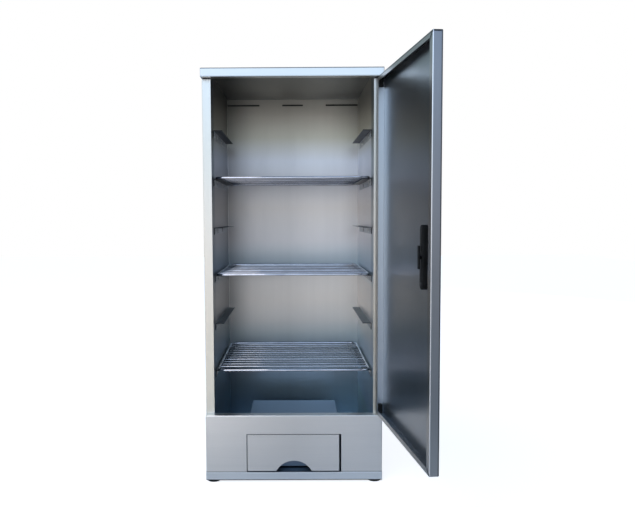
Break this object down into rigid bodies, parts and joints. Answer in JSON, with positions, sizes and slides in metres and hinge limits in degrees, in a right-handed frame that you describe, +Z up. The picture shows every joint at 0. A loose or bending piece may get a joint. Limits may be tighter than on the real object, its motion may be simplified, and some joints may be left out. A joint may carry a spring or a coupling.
{
  "type": "pellet smoker cabinet",
  "caption": "Tall sheet-steel smoking cabinet with a side-hinged door, wire grates on angle rails, and a pellet drawer in its base.",
  "frame": {"origin": "on the floor, at the centre of the body's footprint between its outer side walls and between the closed door's face and the back panel", "axes": "+Z up, -Y out of the door side, +X to the right when facing the door side; the door's hinge is at the front right"},
  "size_m": [0.4517, 0.8158, 0.926],
  "materials": {
    "body_steel": "fine vertical brushed grain",
    "liner_steel": "dull brushed sheet",
    "rail_steel": "dull folded sheet",
    "tray_steel": "plain sheet",
    "wire_chrome": "bright plated wire",
    "black_plastic": "fine grained black",
    "foot_rubber": "matte black",
    "fastener_steel": "zinc plated",
    "magnet_iron": "dark ferrite"
  },
  "bodies": {
    "cabinet": {"roof_cap": "body_steel", "ceiling_liner": "liner_steel", "front_header": "body_steel", "back_panel": "body_steel", "back_liner": "liner_steel", "floor_pan": "liner_steel", "base_front_panel": "body_steel", "base_front_liner": "liner_steel", "plinth_strip": "body_steel", "drawer_tunnel": "liner_steel", "side_panel_left": "body_steel", "side_panel_right": "body_steel", "side_liner_left": "liner_steel", "side_liner_right": "liner_steel", "drawer_runner_left": "liner_steel", "drawer_runner_right": "liner_steel", "rail_left_1": "rail_steel", "rail_left_2": "rail_steel", "rail_left_3": "rail_steel", "rail_left_4": "rail_steel", "rail_left_5": "rail_steel", "rail_left_6": "rail_steel", "rail_right_1": "rail_steel", "rail_right_2": "rail_steel", "rail_right_3": "rail_steel", "rail_right_4": "rail_steel", "rail_right_5": "rail_steel", "rail_right_6": "rail_steel", "rail_rivets": "fastener_steel", "foot_front_left": "foot_rubber", "foot_front_right": "foot_rubber", "foot_rear_left": "foot_rubber", "foot_rear_right": "foot_rubber", "foot_screws": "fastener_steel", "cap_screws": "fastener_steel", "back_screws": "fastener_steel", "base_screws": "fastener_steel", "hinge_pin_top": "fastener_steel", "hinge_pin_bottom": "fastener_steel", "hinge_plate_top": "fastener_steel", "hinge_plate_bottom": "fastener_steel", "catch_magnet_upper": "magnet_iron", "catch_magnet_lower": "magnet_iron"},
    "door": {"door_panel": "body_steel", "door_bush_top": "black_plastic", "door_bush_bottom": "black_plastic", "door_pull": "black_plastic", "door_pull_bar": "black_plastic", "door_pull_screws": "fastener_steel"},
    "drawer": {"drawer_front": "body_steel", "drawer_box": "tray_steel", "drawer_rivets": "fastener_steel", "pellet_tray": "tray_steel"},
    "grate_upper": {"grate_upper_frame": "wire_chrome", "grate_upper_wires": "wire_chrome"},
    "grate_middle": {"grate_middle_frame": "wire_chrome", "grate_middle_wires": "wire_chrome"},
    "grate_lower": {"grate_lower_frame": "wire_chrome", "grate_lower_wires": "wire_chrome"}
  },
  "joints": [
    {"name": "door_swing", "type": "hinge", "parent": "cabinet", "child": "door", "pos_m": [0.195, -0.206, 0.53], "axis": [0, 0, 1], "range_deg": [-96.5, 18.5]},
    {"name": "drawer_slide", "type": "slide", "parent": "cabinet", "child": "drawer", "axis": [0, -1, 0], "range_m": [0, 0.2]},
    {"name": "grate_upper_slide", "type": "slide", "parent": "cabinet", "child": "grate_upper", "axis": [0, -1, 0], "range_m": [0, 0.28]},
    {"name": "grate_middle_slide", "type": "slide", "parent": "cabinet", "child": "grate_middle", "axis": [0, -1, 0], "range_m": [0, 0.28]},
    {"name": "grate_lower_slide", "type": "slide", "parent": "cabinet", "child": "grate_lower", "axis": [0, -1, 0], "range_m": [0, 0.28]}
  ]
}
